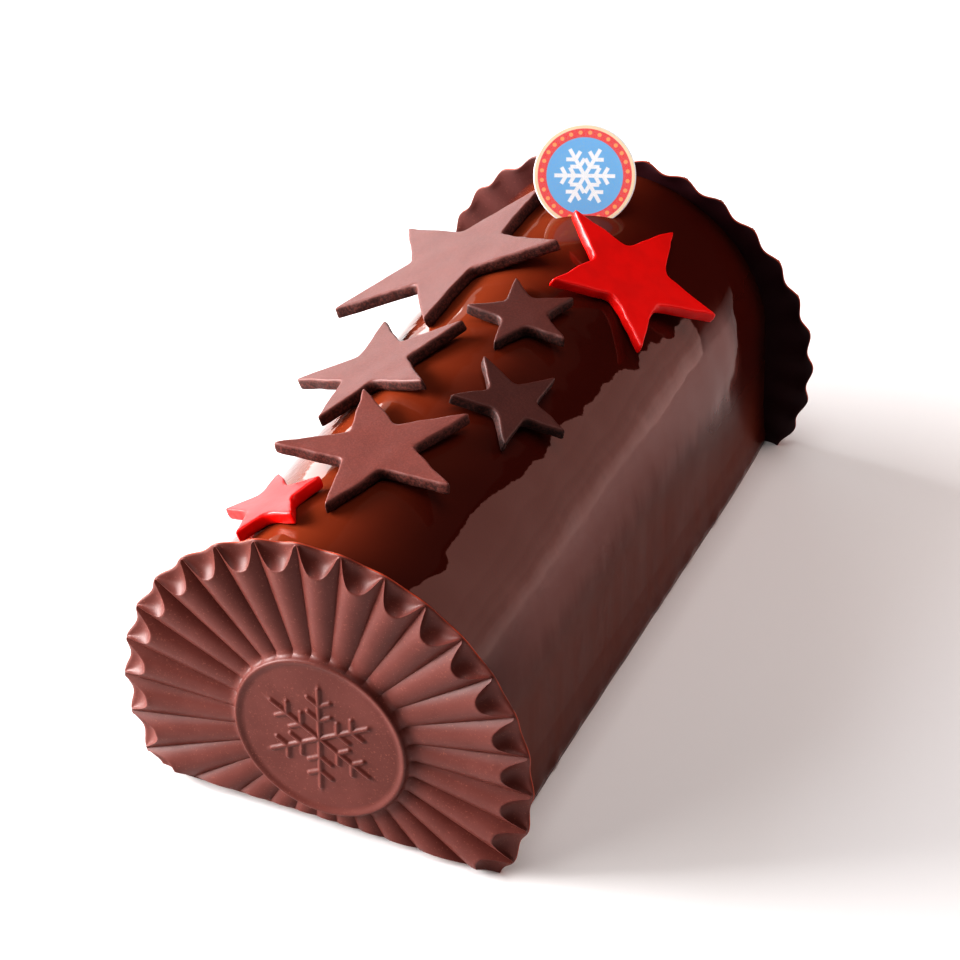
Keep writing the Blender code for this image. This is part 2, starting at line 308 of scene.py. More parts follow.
def finish_piece(name, bm, material, node, crease_degrees=None):
    """Turn a bmesh into a piece that rides on the cake and stands for its solid."""
    bmesh.ops.recalc_face_normals(bm, faces=bm.faces)
    mesh = bpy.data.meshes.new(name)
    bm.to_mesh(mesh)
    bm.free()
    mesh.shade_smooth()
    if crease_degrees:
        mesh.set_sharp_from_angle(angle=math.radians(crease_degrees))
    mesh.materials.append(material)
    piece = bpy.data.objects.new(name, mesh)
    bpy.context.collection.objects.link(piece)
    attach(piece, "root")
    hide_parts(node)


def verts_of(result):
    """The points in an operator's result."""
    return [item for item in result["geom"] if isinstance(item, bmesh.types.BMVert)]


def edges_of(result, key="geom"):
    """The edges in an operator's result."""
    return [item for item in result[key] if isinstance(item, bmesh.types.BMEdge)]


def rise(edge):
    """How far an edge rises along Z."""
    return abs(edge.verts[0].co.z - edge.verts[1].co.z)


def trim(bm, point, normal):
    """Cut away everything on the normal's side of a plane and close the cut."""
    everything = bm.verts[:] + bm.edges[:] + bm.faces[:]
    cut = bmesh.ops.bisect_plane(bm, geom=everything, plane_co=point, plane_no=normal,
                                 dist=1e-7, clear_outer=True)
    bmesh.ops.contextual_create(bm, geom=edges_of(cut, "geom_cut"))


def smooth_step(value, start, end):
    """0 below start and 1 above end, turning smoothly between them."""
    share = min(max((value - start) / (end - start), 0.0), 1.0)
    return share * share * (3.0 - 2.0 * share)


# ---------------------------------------------------------------- the log and its glaze

LOG_ARCH_STEPS = 110
LOG_SIDE_CUTS = 26
LOG_FOOT_CUTS = 20
LOG_BASE_CUTS = 6
LOG_LENGTH_STEPS = 150
LOG_END_INSET = 0.9 * MM
SLOW_WAVE = 24 * MM
SHORT_WAVE = 13 * MM
RUN_WIDTH = 7 * MM
RUN_LENGTH = 60 * MM
RUN_DEPTH = 0.07 * MM
SHOULDER_REACH = 26 * MM
BEAD_CREST = 1.6 * MM
BEAD_TOP_EDGE = 5.0 * MM
BEAD_LENGTH = 6 * MM


def section_loop(bm, sizes):
    """Closed edge loop of the log's section in the XZ plane: base, sides and arch."""
    arch_centre = sizes.height - sizes.half_width
    foot = sizes.half_width + sizes.foot_spread
    corners = ((sizes.half_width, arch_centre), (sizes.half_width, sizes.foot_height), (foot, 0.0),
               (-foot, 0.0), (-sizes.half_width, sizes.foot_height), (-sizes.half_width, arch_centre))
    cuts = (LOG_SIDE_CUTS, LOG_FOOT_CUTS, LOG_BASE_CUTS, LOG_FOOT_CUTS, LOG_SIDE_CUTS)
    verts = [bm.verts.new((across, 0.0, up)) for across, up in corners]
    edges = [bm.edges.new(pair) for pair in zip(verts, verts[1:])]
    for edge, cut in zip(edges, cuts):
        bmesh.ops.subdivide_edges(bm, edges=[edge], cuts=cut)
    spring = bm.verts.new((sizes.half_width, 0.0, arch_centre))
    bmesh.ops.spin(bm, geom=[spring], cent=(0.0, 0.0, arch_centre), axis=(0.0, -1.0, 0.0),
                   angle=math.pi, steps=LOG_ARCH_STEPS)
    bmesh.ops.remove_doubles(bm, verts=bm.verts, dist=1e-5)
    return bm.edges[:]


def end_place(plaques, side, up):
    """Place along Y where the log meets a plaque's back, at a height."""
    lean = plaques.front_lean if side < 0 else plaques.rear_lean
    return side * (plaques.apart / 2 - up * math.tan(lean) - LOG_END_INSET)


def glaze_thickness(place, sizes, plaques):
    """Height of the glaze's waves, ripples and runs over the even surface, less its fall at the rear."""
    slow = noise.fractal(place / SLOW_WAVE, 1.0, 2.0, 2) * sizes.waves
    short = noise.fractal(place / SHORT_WAVE + Vector((7.0, 3.0, 1.0)), 1.3, 2.0, 3) * sizes.ripples
    side = smooth_step(abs(place.x), 0.6 * sizes.half_width, sizes.half_width)
    runs = noise.noise(Vector((place.y / RUN_WIDTH, 0.0, place.z / RUN_LENGTH))) * RUN_DEPTH * side
    to_rear = end_place(plaques, 1, place.z) - place.y
    fall = max(1.0 - to_rear / SHOULDER_REACH, 0.0) ** 2 * sizes.shoulder
    return slow + short + runs - fall


def bead_thickness(place, sizes):
    """Height of the uneven bead of glaze round the foot, at a place on the log."""
    run = 0.5 + 0.9 * noise.noise(Vector((place.y / BEAD_LENGTH, 4.0, math.copysign(3.0, place.x))))
    bulge = smooth_step(place.z, 0.0, BEAD_CREST) - smooth_step(place.z, BEAD_CREST, BEAD_TOP_EDGE)
    return sizes.bead * max(run, 0.0) * bulge


def make_glazed_log(sizes, plaques, material):
    """The log, drawn out along Y from its section and given an uneven coat of glaze."""
    bm = bmesh.new()
    loop = section_loop(bm, sizes)
    bmesh.ops.contextual_create(bm, geom=loop)
    step = 1.0 / LOG_LENGTH_STEPS
    for _ in range(LOG_LENGTH_STEPS):
        drawn = bmesh.ops.extrude_edge_only(bm, edges=loop)
        ends = verts_of(drawn)
        bmesh.ops.translate(bm, verts=ends, vec=(0.0, step, 0.0))
        ends = set(ends)
        loop = [edge for edge in edges_of(drawn) if ends.issuperset(edge.verts)]
    bmesh.ops.contextual_create(bm, geom=loop)
    arch_centre = sizes.height - sizes.half_width
    for vert in bm.verts:
        share = vert.co.y
        front = end_place(plaques, -1, vert.co.z)
        rear = end_place(plaques, 1, vert.co.z)
        vert.co.y = front + (rear - front) * share
        if abs(vert.co.x) < sizes.half_width and vert.co.z < 1e-6:
            continue
        outward = Vector((vert.co.x, 0.0, max(vert.co.z - arch_centre, 0.0))).normalized()
        vert.co += outward * (glaze_thickness(vert.co, sizes, plaques) + bead_thickness(vert.co, sizes))
    finish_piece("glaze_coat", bm, material, "glazed_log", crease_degrees=50)


# each of these masks turns from 0 to 1 between two places across, along or up the log
# the first mask below spreads painted light over the glaze's left side
PAINTED_GLOW_ACROSS = (-16 * MM, 40 * MM)
DARK_LEFT = (16 * MM, 31 * MM)
COATED_LEFT = (23 * MM, 32 * MM)
REARWARD = (5 * MM, 60 * MM)
SATIN_TOP = (40 * MM, 64 * MM)
DULL_TOP = (28 * MM, 58 * MM)
DULL_ACROSS = (-30 * MM, -10 * MM)
SHINY_FOOT = (1 * MM, 8 * MM)
# the painted sheen's band high on the right side
PAINTED_SHEEN_BOTTOM = (34 * MM, 46 * MM)
PAINTED_SHEEN_TOP = (50 * MM, 61 * MM)
PAINTED_SHEEN_ACROSS = (0.0, 20 * MM)
PAINTED_SHEEN_FRONT = (-86 * MM, -45 * MM)
PAINTED_SHEEN_REAR = (64 * MM, 71 * MM)

# how far noise, or the way to the rear, shifts a mask's edge
CLOUD_SHIFT = 16 * MM
RAGGED_EDGE = 12 * MM
SOFT_EDGE = 4 * MM
SATIN_RISE = 16 * MM
PAINTED_SHEEN_RISE = 6 * MM

FLOW_GRAIN = (1.0, 1.0, 0.12)
WARM_GLAZE_TINT = (1.0, 0.75, 0.70, 1.0)


def glaze_relief(finish, place, flow, left):
    """Fine relief of the glaze: flow marks, wrinkles, and threads down the left."""
    wrinkles = finish.noise(place, 3.5, 1.0)
    threads = 1.0 - abs(finish.noise(place, 4.0, 2.0) * 2.0 - 1.0)
    return finish.bump(flow * 0.6 + wrinkles * 0.4 + threads * left * 4.0, 0.03)


def painted_sheen_mask(across, lengthwise, upward, flow, rearward):
    """Where the painted sheen lies, as a milky band high on the right side."""
    lower = (upward + (flow - 0.5) * RAGGED_EDGE + rearward * PAINTED_SHEEN_RISE).step(*PAINTED_SHEEN_BOTTOM)
    upper = 1.0 - (upward + (flow - 0.5) * SOFT_EDGE).step(*PAINTED_SHEEN_TOP)
    ends = lengthwise.step(*PAINTED_SHEEN_FRONT) * (1.0 - lengthwise.step(*PAINTED_SHEEN_REAR))
    return lower * upper * across.step(*PAINTED_SHEEN_ACROSS) * ends


def glaze_finish(sizes):
    """Wet dark glaze with painted light, warmer and lighter towards the left where the side light falls, and
    a painted sheen high on the right; it turns satin and duller down the right side.
    """
    finish = Finish("wet_dark_glaze")
    place = finish.place()
    across, lengthwise, upward = [finish.along(place, axis) for axis in "XYZ"]
    leftward = across * -1.0
    flow = finish.noise(finish.stretched(place, FLOW_GRAIN), 5.0, 2.0)
    left = leftward.step(*DARK_LEFT)
    # painted light: the glaze turns warmer and lighter towards the left, where the side light falls, and
    # fades back out at the far left edge
    thin = (leftward + finish.noise(place, 28.0, 2.0) * CLOUD_SHIFT).step(*PAINTED_GLOW_ACROSS)
    body = finish.mix(thin * (1.0 - left * 0.95), tuple(sizes.deep), tuple(sizes.thin))
    rearward = lengthwise.step(*REARWARD)
    # painted sheen: a milky band of lighter colour high on the right side, in place of reflected light
    veil = painted_sheen_mask(across, lengthwise, upward, flow, rearward)
    sheen_painted = finish.mix(veil * 0.6, body, tuple(sizes.veil))
    height = upward + (flow - 0.5) * RAGGED_EDGE + rearward * SATIN_RISE
    foot = upward.step(*SHINY_FOOT)
    satin = (1.0 - height.step(*SATIN_TOP)) * (foot * 0.12 + 0.08)
    wall = (1.0 - height.step(*DULL_TOP)) * across.step(*DULL_ACROSS)
    walled = finish.mix(wall * 0.8, sheen_painted, tuple(sizes.wall))
    relief = glaze_relief(finish, place, flow, left)
    finish.surface(base_color=sheen_painted, roughness=satin + sizes.gloss, normal=relief, ior=1.4,
                   specular_tint=WARM_GLAZE_TINT, coat_weight=leftward.step(*COATED_LEFT) * 0.4,
                   coat_roughness=0.04)
    return finish.duller(wall * (flow * 0.5 + 0.40) * (foot * 0.65 + 0.35), base_color=walled,
                         roughness=0.5, normal=relief, specular_ior_level=0.12)


# ---------------------------------------------------------------- the moulded plaques

LOBES = 30
LOBE_STEPS = 20
GROUND_START = 22.7 * MM
CREST_AT_RING = 0.9 * MM
CREST_AT_SCOOP = 2.45 * MM
GROOVE_HEIGHT = 0.3 * MM
LOBE_ROUNDNESS = 2.2
SCOOP_START = 46.1 * MM
SCOOP_REACH = 8.4 * MM
SCOOP_SIDE_POWER = 2.8
SCOOP_FALL_POWER = 3.0
RIM_SCALLOP = 1.15 * MM
RIM_SETBACK = 0.95 * MM
RIM_THICKNESS = 0.8 * MM
RIM_ROUND = 0.28 * MM
PLAQUE_BACK = -1.0 * MM
BACK_RADIUS = 49.6 * MM
FACE_HEIGHT = 2.3 * MM
FLAKE_RADIUS = 14.5 * MM
FLAKE_TWIGS = ((5.4 * MM, 3.3 * MM), (9.6 * MM, 3.3 * MM))
FLAKE_CREST = 0.1 * MM
FLAKE_FOOT = 0.98 * MM
FILLET_HEIGHT = 0.5 * MM
FILLET_REACH = 0.9 * MM
RIDGE_HEIGHT = 0.10 * MM
RIDGE_SHARES = (0.955, 0.985, 1.02)
SCOOP_MARGIN = 0.5 * MM
SCOOP_LIP = 0.12 * MM
LIP_HEIGHT = 0.05 * MM
LIP_SHARE = 0.06
TAIL_STATIONS = 8
RIM_STATIONS = (1, 2)
FLOOR_CLEARANCE = 0.02 * MM

# the bead's section in mm: offset from its radius and height above the medallion's face
BEAD_SECTION = ((-2.3, -0.03), (-1.7, -0.05), (-1.1, 0.12), (-0.7, 0.34), (-0.35, 0.46), (-0.1, 0.50),
                (0.15, 0.44), (0.35, 0.24), (0.5, -0.12))


def ribbed_height(radius, across):
    """Height of the ribbed ground at a radius and a place across its lobe."""
    outward = min((radius - GROUND_START) / (SCOOP_START - GROUND_START), 1.0)
    crest = CREST_AT_RING + (CREST_AT_SCOOP - CREST_AT_RING) * outward
    return GROOVE_HEIGHT + (crest - GROOVE_HEIGHT) * (1.0 - abs(across) ** LOBE_ROUNDNESS)


def scallop(across):
    """How deep the rim is scalloped: 1 in the middle of a lobe and 0 at its tips."""
    return math.cos(math.pi * across / 2) ** 2


def flake_distance(right, up):
    """Distance from the nearest stroke of the snowflake's six arms."""
    turned = math.atan2(up, right) - math.pi / 6
    folded = abs((turned + math.pi / 6) % (math.pi / 3) - math.pi / 6)
    radius = math.hypot(right, up)
    point = Vector((radius * math.cos(folded), radius * math.sin(folded)))
    strokes = [(Vector((0.0, 0.0)), Vector((FLAKE_RADIUS, 0.0)))]
    for root, reach in FLAKE_TWIGS:
        twig = Vector((math.cos(math.pi / 3), math.sin(math.pi / 3))) * reach
        strokes.append((Vector((root, 0.0)), Vector((root, 0.0)) + twig))
    nearest = FLAKE_RADIUS
    for start, end in strokes:
        span = end - start
        share = min(max((point - start).dot(span) / span.length_squared, 0.0), 1.0)
        nearest = min(nearest, (point - start - span * share).length)
    return nearest


def front_stations(plaques):
    """Stations from the medallion's middle out to the foot of its bead, as (radius, height)."""
    stations = [(radius * MM, FACE_HEIGHT) for radius in (*spread(0.4, 15.2, 50), 16.4, 17.8, 18.8)]
    stations += [(plaques.medallion + offset * MM, FACE_HEIGHT + above * MM)
                 for offset, above in BEAD_SECTION]
    return stations


def spread(start, end, count):
    """Evenly spaced numbers, both ends included."""
    return [start + (end - start) * step / (count - 1) for step in range(count)]


GROUND_SHARES = [0.0, 0.01, 0.03] + spread(0.07, 0.93, 14) + [0.97, 0.985, 0.995]
SCOOP_SHARES = [0.0, 0.02, 0.05, 0.09, 0.14, 0.2, 0.28, 0.38, 0.5, 0.64, 0.78, 0.9]


def plaque_point(station, across, plaques, stations):
    """Radius and height of one point of the plaque, by its station from the middle and its place across."""
    if station < len(stations):
        return stations[station]
    station -= len(stations)
    limit = plaques.radius - SCOOP_MARGIN
    scoop = min(SCOOP_START + SCOOP_REACH * abs(across) ** SCOOP_SIDE_POWER, limit)
    edge = ribbed_height(scoop, across)
    if station < len(GROUND_SHARES):
        share = GROUND_SHARES[station]
        radius = GROUND_START + (scoop - GROUND_START) * share
        height = ribbed_height(radius, across)
        fillet = FILLET_HEIGHT * (1.0 - smooth_step(radius, GROUND_START, GROUND_START + FILLET_REACH))
        start, crest, end = RIDGE_SHARES
        ridge = RIDGE_HEIGHT * (smooth_step(share, start, crest) - smooth_step(share, crest, end))
        return radius, height + fillet + ridge * scallop(across)
    station -= len(GROUND_SHARES)
    rim = plaques.radius - RIM_SCALLOP * scallop(across)
    rim_height = -RIM_SETBACK * scallop(across)
    if station < len(SCOOP_SHARES):
        share = SCOOP_SHARES[station]
        fall = (1.0 - share) ** SCOOP_FALL_POWER
        start = scoop + SCOOP_LIP
        lift = LIP_HEIGHT * (1.0 - smooth_step(share, 0.0, LIP_SHARE)) * scallop(across)
        return start + (rim - RIM_ROUND - start) * share, rim_height + (edge - rim_height) * fall + lift
    station -= len(SCOOP_SHARES)
    back = rim_height - RIM_THICKNESS
    ease = 0.3 * RIM_ROUND
    tail = ((rim - ease, rim_height - ease), (rim, rim_height - RIM_ROUND), (rim, back + RIM_ROUND),
            (rim - ease, back + ease), (rim - RIM_ROUND, back),
            (0.5 * (rim + BACK_RADIUS), 0.5 * (back + PLAQUE_BACK)), (BACK_RADIUS, PLAQUE_BACK),
            (0.8 * BACK_RADIUS, PLAQUE_BACK))
    return tail[station]


def make_plaque_form(plaques):
    """The whole round plaque, facing +Z: a flat sheet of rings, then moved to its relief."""
    stations = front_stations(plaques)
    front_count = len(stations) + len(GROUND_SHARES) + len(SCOOP_SHARES)
    count = front_count + TAIL_STATIONS
    bm = bmesh.new()
    ray = [bm.verts.new((station + 1.0, 0.0, 0.0)) for station in range(count)]
    spokes = [bm.edges.new(pair) for pair in zip(ray, ray[1:])]
    bmesh.ops.spin(bm, geom=ray + spokes, cent=(0.0, 0.0, 0.0), axis=(0.0, 0.0, 1.0),
                   angle=2 * math.pi, steps=LOBES * LOBE_STEPS, use_merge=True)
    for ring in (1.0, float(count)):
        edge_loop = [edge for edge in bm.edges
                     if all(abs(vert.co.length - ring) < 1e-3 for vert in edge.verts)]
        bmesh.ops.contextual_create(bm, geom=edge_loop)
    rim_mask = bm.verts.layers.float.new("rim")
    back_mask = bm.verts.layers.float.new("back")
    lobe = 2 * math.pi / LOBES
    for vert in bm.verts:
        station = round(vert.co.length) - 1
        turn = math.atan2(vert.co.y, vert.co.x) - math.pi / 2
        middle = round(turn / lobe) * lobe
        across = math.sin(math.pi / 2 * max(min((turn - middle) / (lobe / 2), 1.0), -1.0))
        bearing = math.pi / 2 + middle + across * lobe / 2
        radius, height = plaque_point(station, across, plaques, stations)
        right, up = radius * math.cos(bearing), radius * math.sin(bearing)
        if radius < FLAKE_RADIUS + 1.0 * MM and station < len(stations):
            stroke = flake_distance(right, up)
            height += plaques.relief * (1.0 - smooth_step(stroke, FLAKE_CREST, FLAKE_FOOT))
        beyond = station - front_count
        vert[rim_mask] = 1.0 if beyond in RIM_STATIONS else 0.0
        vert[back_mask] = 1.0 if beyond > max(RIM_STATIONS) else 0.0
        vert.co = Vector((right, up, height))
    return bm


def plaque_placement(plaques, side):
    """Matrix that stands a plaque facing outwards at one end of the log, leaning in at the top."""
    lean = plaques.front_lean if side < 0 else plaques.rear_lean
    up = Vector((0.0, -side * math.sin(lean), math.cos(lean)))
    outward = Vector((0.0, side * math.cos(lean), math.sin(lean)))
    turn = Matrix((up.cross(outward), up, outward)).transposed().to_4x4()
    foot = Vector((0.0, side * plaques.apart / 2, 0.0))
    return Matrix.Translation(foot + up * plaques.centre_height) @ turn


def make_plaque(name, node, side, form, plaques, log_half_width, material):
    """One plaque, stood at its end of the log and ended at its drafted foot."""
    bm = form.copy()
    bmesh.ops.transform(bm, matrix=plaque_placement(plaques, side), verts=bm.verts)
    lean = plaques.front_lean if side < 0 else plaques.rear_lean
    foot = Vector((0.0, side * (plaques.apart / 2 + PLAQUE_BACK / math.cos(lean)), 0.0))
    normal = Vector((0.0, side * math.sin(plaques.foot_draft), -math.cos(plaques.foot_draft)))
    if side < 0:
        foot.x = log_half_width
        normal = Matrix.Rotation(plaques.front_roll, 3, "Y") @ normal
    trim(bm, Vector((0.0, 0.0, FLOOR_CLEARANCE)), Vector((0.0, 0.0, -1.0)))
    trim(bm, foot, normal)
    finish_piece(name, bm, material, node, crease_degrees=60)


def plaque_finish(plaques):
    """Satin moulded chocolate with mottling, fine specks, a painted glow on the thin rim and painted shade on
    the back.
    """
    finish = Finish("satin_moulded_chocolate")
    place = finish.place()
    mottle = finish.noise(place, 14.0, 4.0, 0.6)
    specks = finish.noise(place, 0.55, 2.0, 0.7).step(0.60, 0.72)
    body = finish.mix(mottle.step(0.35, 0.65), tuple(plaques.shade), tuple(plaques.milk))
    speckled = finish.mix(specks * 0.45, body, tuple(plaques.specks))
    # painted glow: the thin rim lit up in patches, as if light shone through it
    rim = finish.attribute("rim") * finish.noise(place, 7.0, 2.0).step(0.25, 0.55)
    # painted shade on the plain back, stronger towards +X
    unlit = finish.along(place, "X").step(-45 * MM, 0.0) * 0.75 + 0.2
    shade_painted_back = finish.mix(finish.attribute("back") * unlit, speckled, tuple(plaques.back))
    rim_glow_painted = finish.mix(rim * 0.75, shade_painted_back, tuple(plaques.rim))
    grain = finish.noise(place, 0.8, 3.0, 0.6)
    relief = finish.bump(grain + mottle * 0.6, 0.025)
    return finish.surface(base_color=rim_glow_painted, roughness=0.38 + grain * 0.12, normal=relief,
                          specular_ior_level=0.28)


# ---------------------------------------------------------------- the stars

# angle round the arch in degrees, offset across and place along Y in mm, turn in degrees,
# radius to the points and to the inner corners in mm, and a tone that paints shade on the low and top stars
# and light on the front star
BROWN_STARS = {
    "star_brown_large": (-25.7, -9.6, 41.3, 68.2, 33.4, 13.2, 1.0),
    "star_brown_front": (-4.2, -2.2, -46.3, 51.4, 24.5, 9.1, 1.25),
    "star_brown_middle": (-24.8, -5.9, -9.8, 41.4, 23.7, 9.2, 1.0),
    "star_brown_low": (18.5, 0.9, -15.1, 71.3, 15.4, 6.0, 0.68),
    "star_brown_top": (2.8, 1.7, 15.6, 50.4, 14.4, 5.8, 0.72),
}
RED_STARS = {
    "star_red_large": (26.1, 0.4, 46.1, 14.0, 23.4, 9.9, 1.0),
    "star_red_small": (-25.9, -3.3, -68.4, 38.3, 13.0, 6.0, 1.0),
}
SOLID_LOG_RADIUS = 40.3 * MM
GAP = 0.3 * MM
CORNER_ROUNDS = 6
SOFTENING_ROUNDS = 6
STAR_CELL = 0.85 * MM
CRUMB_SIZE = 1.1 * MM
WANDER_SIZE = 4 * MM
BEND_SIZE = 16 * MM
BEND_SHARE = 2.2
SIDE_FADE = (0.9 * MM, 0.1 * MM)
FIRST_RED_SEED = 11
BEND_SEED = 1795451600


def round_corners(outline):
    """Ease the corners of a closed outline by moving each point towards its two neighbours."""
    for _ in range(CORNER_ROUNDS):
        eased = {}
        for vert in outline:
            pair = [edge.other_vert(vert).co for edge in vert.link_edges if edge.is_boundary]
            eased[vert] = 0.4 * vert.co + 0.3 * (pair[0] + pair[1])
        for vert, place in eased.items():
            vert.co = place


def star_plate(stars, turn, tip_radius, inner_radius, seed):
    """Flat star with round points, soft edges and slightly uneven cut sides, on the XY plane."""
    bm = bmesh.new()
    bmesh.ops.create_circle(bm, cap_ends=True, cap_tris=True, segments=10, radius=tip_radius)
    corners = [vert for vert in bm.verts if vert.co.length > MM]
    corners.sort(key=lambda vert: math.atan2(vert.co.y, vert.co.x))
    for step, vert in enumerate(corners):
        bearing = turn + math.pi * step / 5
        reach = inner_radius if step % 2 else tip_radius + stars.point
        vert.co = Vector((reach * math.cos(bearing), reach * math.sin(bearing), 0.0))
    bmesh.ops.subdivide_edges(bm, edges=bm.edges[:], cuts=int(tip_radius / STAR_CELL), use_grid_fill=True)
    round_corners([vert for vert in bm.verts if vert.is_boundary])
    raised = bmesh.ops.extrude_face_region(bm, geom=bm.faces[:], use_keep_orig=True)
    bmesh.ops.translate(bm, verts=verts_of(raised), vec=(0.0, 0.0, stars.thickness))
    bmesh.ops.recalc_face_normals(bm, faces=bm.faces)
    sides = [edge for edge in bm.edges if rise(edge) > 0.5 * stars.thickness]
    bmesh.ops.subdivide_edges(bm, edges=sides, cuts=4)
    for _ in range(SOFTENING_ROUNDS):
        bmesh.ops.smooth_vert(bm, verts=bm.verts, factor=0.5, use_axis_x=True, use_axis_y=True,
                              use_axis_z=True)
    bm.normal_update()
    noise.seed_set(BEND_SEED)  # without it, noise_vector follows the clock and each run differs
    shifts = [wander(vert.co, seed, stars.unevenness) + crumble(vert, seed, stars) for vert in bm.verts]
    for vert, shift in zip(bm.verts, shifts):
        vert.co += shift
    return bm


def crumble(vert, seed, stars):
    """Small bumps on a cut side, none on the flats."""
    upright = 1.0 - abs(vert.normal.z)
    return vert.normal * noise.noise(vert.co / CRUMB_SIZE + Vector((seed, 2.0, 5.0))) * stars.crumbs * upright


def wander(place, seed, amount):
    """Small shift that makes the cut sides uneven and bends the points."""
    seen = place / WANDER_SIZE + Vector((seed * 5.3, 1.7, seed))
    bend = noise.noise_vector(place / BEND_SIZE + Vector((seed * 3.1, 8.0, 0.5))) * BEND_SHARE
    return Vector((noise.noise(seen) + bend.x, noise.noise(seen + Vector((9.0, 4.0, 2.0))) + bend.y,
                   0.4 * noise.noise(seen / 2))) * amount


def make_star(node, name, pose, stars, height, seed, material):
    """One star, laid against the arch at its own angle round the log."""
    arch_angle, across, along, turn, tip_radius, inner_radius, painted_light_tone = pose
    bm = star_plate(stars, math.radians(turn), tip_radius * MM, inner_radius * MM, seed)
    bearing = math.radians(arch_angle)
    outward = Vector((math.sin(bearing), 0.0, math.cos(bearing)))
    sideways = Vector((math.cos(bearing), 0.0, -math.sin(bearing)))
    centre = Vector((0.0, along * MM, height - SOLID_LOG_RADIUS))
    seat = centre + outward * (SOLID_LOG_RADIUS + GAP) + sideways * across * MM
    placing = Matrix.Translation(seat) @ Matrix.Rotation(bearing, 4, "Y")
    bmesh.ops.transform(bm, matrix=placing, verts=bm.verts)
    depth = bm.verts.layers.float.new("side")
    painted_light_tones = bm.verts.layers.float.new("painted_light_tone")
    fade = [stars.thickness - below for below in SIDE_FADE]
    for vert in bm.verts:
        vert[painted_light_tones] = painted_light_tone
        vert[depth] = 1.0 - smooth_step((vert.co - seat).dot(outward), *fade)
    finish_piece(name, bm, material, node)


def cocoa_finish(stars):
    """Matte chocolate with a papery grain on top and rougher, darker cut sides."""
    finish = Finish("matte_cocoa_chocolate")
    place = finish.place()
    side = finish.attribute("side")
    mottle = finish.noise(place, 9.0, 4.0, 0.6)
    fibre = finish.noise(place, 0.55, 3.0, 0.7)
    crumbs = finish.noise(place, 0.7, 4.0, 0.7)
    top = finish.mix(mottle.step(0.3, 0.7), shaded(stars.cocoa, 0.88), tuple(stars.cocoa))
    dusted = finish.mix(fibre.step(0.42, 0.66) * 0.22, top, shaded(stars.cocoa, 2.0))
    cut = finish.mix(crumbs.step(0.44, 0.60) * 0.7, shaded(stars.cocoa_side, 0.6),
                     shaded(stars.cocoa_side, 2.2))
    # painted shade and light: each brown star's colour scaled by its own tone
    body = finish.mix(1.0, finish.mix(side, dusted, cut), finish.attribute("painted_light_tone"), "MULTIPLY")
    relief = finish.bump(fibre * (1.0 - side) * 0.5 + crumbs * side, 0.14)
    return finish.surface(base_color=body, roughness=0.48 + side * 0.25, normal=relief,
                          specular_ior_level=0.42)


def red_finish(stars):
    """Satin red chocolate with faint waves."""
    finish = Finish("satin_red_chocolate")
    place = finish.place()
    waves = finish.noise(place, 6.0, 2.0)
    shade = finish.mix(waves.step(0.3, 0.7), shaded(stars.red, 0.9), tuple(stars.red))
    relief = finish.bump(waves + finish.noise(place, 0.9, 2.0) * 0.15, 0.08)
    return finish.surface(base_color=shade, roughness=0.34, normal=relief, specular_ior_level=0.42)


# ---------------------------------------------------------------- the printed disc

DISC_CENTRE = Vector((-3.5, 69.4, 84.6)) * MM
DISC_TURN = math.radians(22.0)
DISC_LEAN = math.radians(34.0)
DISC_DOTS = 28
DISC_DOT_RING = 10.9 * MM
DISC_EDGE_ROUND = 0.18 * MM
DISC_INSET = 0.3 * MM
PRINT_EDGE = (12.62 * MM, 12.78 * MM)
PRINT_BLUR = 0.12 * MM
PRINT_FLAKE_RADIUS = 7.2 * MM
PRINT_FLAKE_TWIGS = ((2.6 * MM, 1.9 * MM), (4.7 * MM, 1.9 * MM))
PRINT_FLAKE_EDGE = (0.40 * MM, 0.58 * MM)


def make_printed_disc(disc, material):
    """The disc, with its print's plan kept in a UV map, stood in the glaze."""
    bm = bmesh.new()
    bmesh.ops.create_cone(bm, cap_ends=True, segments=96, radius1=disc.radius, radius2=disc.radius,
                          depth=disc.thickness)
    rims = [edge for edge in bm.edges if rise(edge) < 0.5 * disc.thickness]
    bmesh.ops.bevel(bm, geom=rims, offset=DISC_EDGE_ROUND, segments=3, profile=0.5, material=-1,
                    affect="EDGES")
    flats = sorted(bm.faces, key=lambda face: face.calc_area())[-2:]
    bmesh.ops.inset_individual(bm, faces=flats, thickness=DISC_INSET)
    plan = bm.loops.layers.uv.new("print")
    for face in bm.faces:
        for loop in face.loops:
            loop[plan].uv = [side / (2 * disc.radius) + 0.5 for side in loop.vert.co.xy]
    facing = Vector((math.sin(DISC_TURN) * math.cos(DISC_LEAN), -math.cos(DISC_TURN) * math.cos(DISC_LEAN),
                     math.sin(DISC_LEAN)))
    right = Vector((math.cos(DISC_TURN), math.sin(DISC_TURN), 0.0))
    turn = Matrix((right, facing.cross(right), facing)).transposed().to_4x4()
    bmesh.ops.transform(bm, matrix=Matrix.Translation(DISC_CENTRE) @ turn, verts=bm.verts)
    finish_piece("paper_thin_disc", bm, material, "printed_disc", crease_degrees=40)


def flake_stroke(radius, bearing):
    """Distance from the strokes of the printed snowflake's six arms."""
    folded = abs((bearing + math.pi / 6 + math.pi * 2) % (math.pi / 3) - math.pi / 6)
    out = radius * folded.maths("COSINE", folded)
    beside = radius * folded.maths("SINE", folded)
    stroke = beside.most(out - PRINT_FLAKE_RADIUS)
    for root, reach in PRINT_FLAKE_TWIGS:
        along = (out - root) * math.cos(math.pi / 3) + beside * math.sin(math.pi / 3)
        off = abs((out - root) * -math.sin(math.pi / 3) + beside * math.cos(math.pi / 3))
        stroke = stroke.least(off.most(along - reach).most(along * -1.0))
    return stroke


